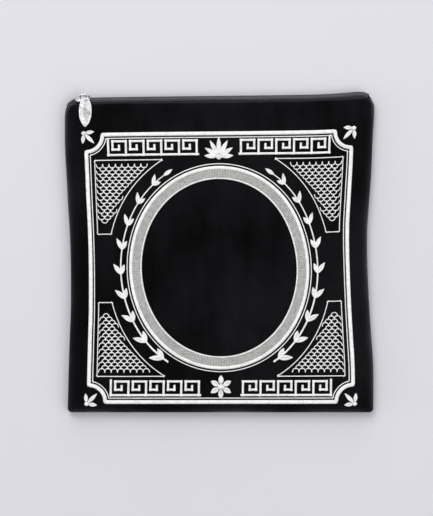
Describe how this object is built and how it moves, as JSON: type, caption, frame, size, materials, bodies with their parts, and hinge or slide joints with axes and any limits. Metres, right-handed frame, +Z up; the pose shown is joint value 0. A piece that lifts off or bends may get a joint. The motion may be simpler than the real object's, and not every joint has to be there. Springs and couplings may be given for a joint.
{
  "type": "tefillin bag",
  "caption": "Flat square black velvet pouch lying on its back, with a zip along the top edge, a metal pull, and raised silver embroidery: border, key bands and an oval ring in laurel.",
  "frame": {"origin": "middle of the underside of the bag's box, on the surface that it lies on", "axes": "+X across the bag to the zip's closed end, +Y towards the zip, +Z up out of the embroidered front"},
  "size_m": [0.202, 0.2092, 0.0143],
  "materials": {
    "velvet": "black cotton velvet with a short dense pile",
    "thread": "silver-white satin embroidery thread with a soft sheen",
    "thread_grey": "silver-grey filling stitch in short steps",
    "zip_tape": "black woven zip tape",
    "zip_coil": "charcoal nylon coil",
    "pull_metal": "bright nickel plating"
  },
  "bodies": {
    "bag": {"front_panel": "velvet", "back_panel": "velvet", "zip_tape_front": "zip_tape", "zip_tape_back": "zip_tape", "zip_coil": "zip_coil", "zip_slider": "pull_metal", "border_frame": "thread", "key_band_top_left": "thread", "key_band_top_right": "thread", "key_band_bottom_left": "thread", "key_band_bottom_right": "thread", "medallion_ring": "thread_grey", "laurel_left": "thread", "laurel_right": "thread", "palmette": "thread", "rosette": "thread", "corner_fan_bottom_left": "thread", "corner_fan_bottom_right": "thread", "corner_fan_top_left": "thread", "corner_fan_top_right": "thread"},
    "pull": {"pull_tag": "pull_metal"}
  },
  "joints": [
    {"name": "pull_hinge", "type": "hinge", "parent": "bag", "child": "pull", "pos_m": [-0.08709, 0.10223, 0.00961], "axis": [-1, 0, 0], "range_deg": [0, 180]}
  ]
}
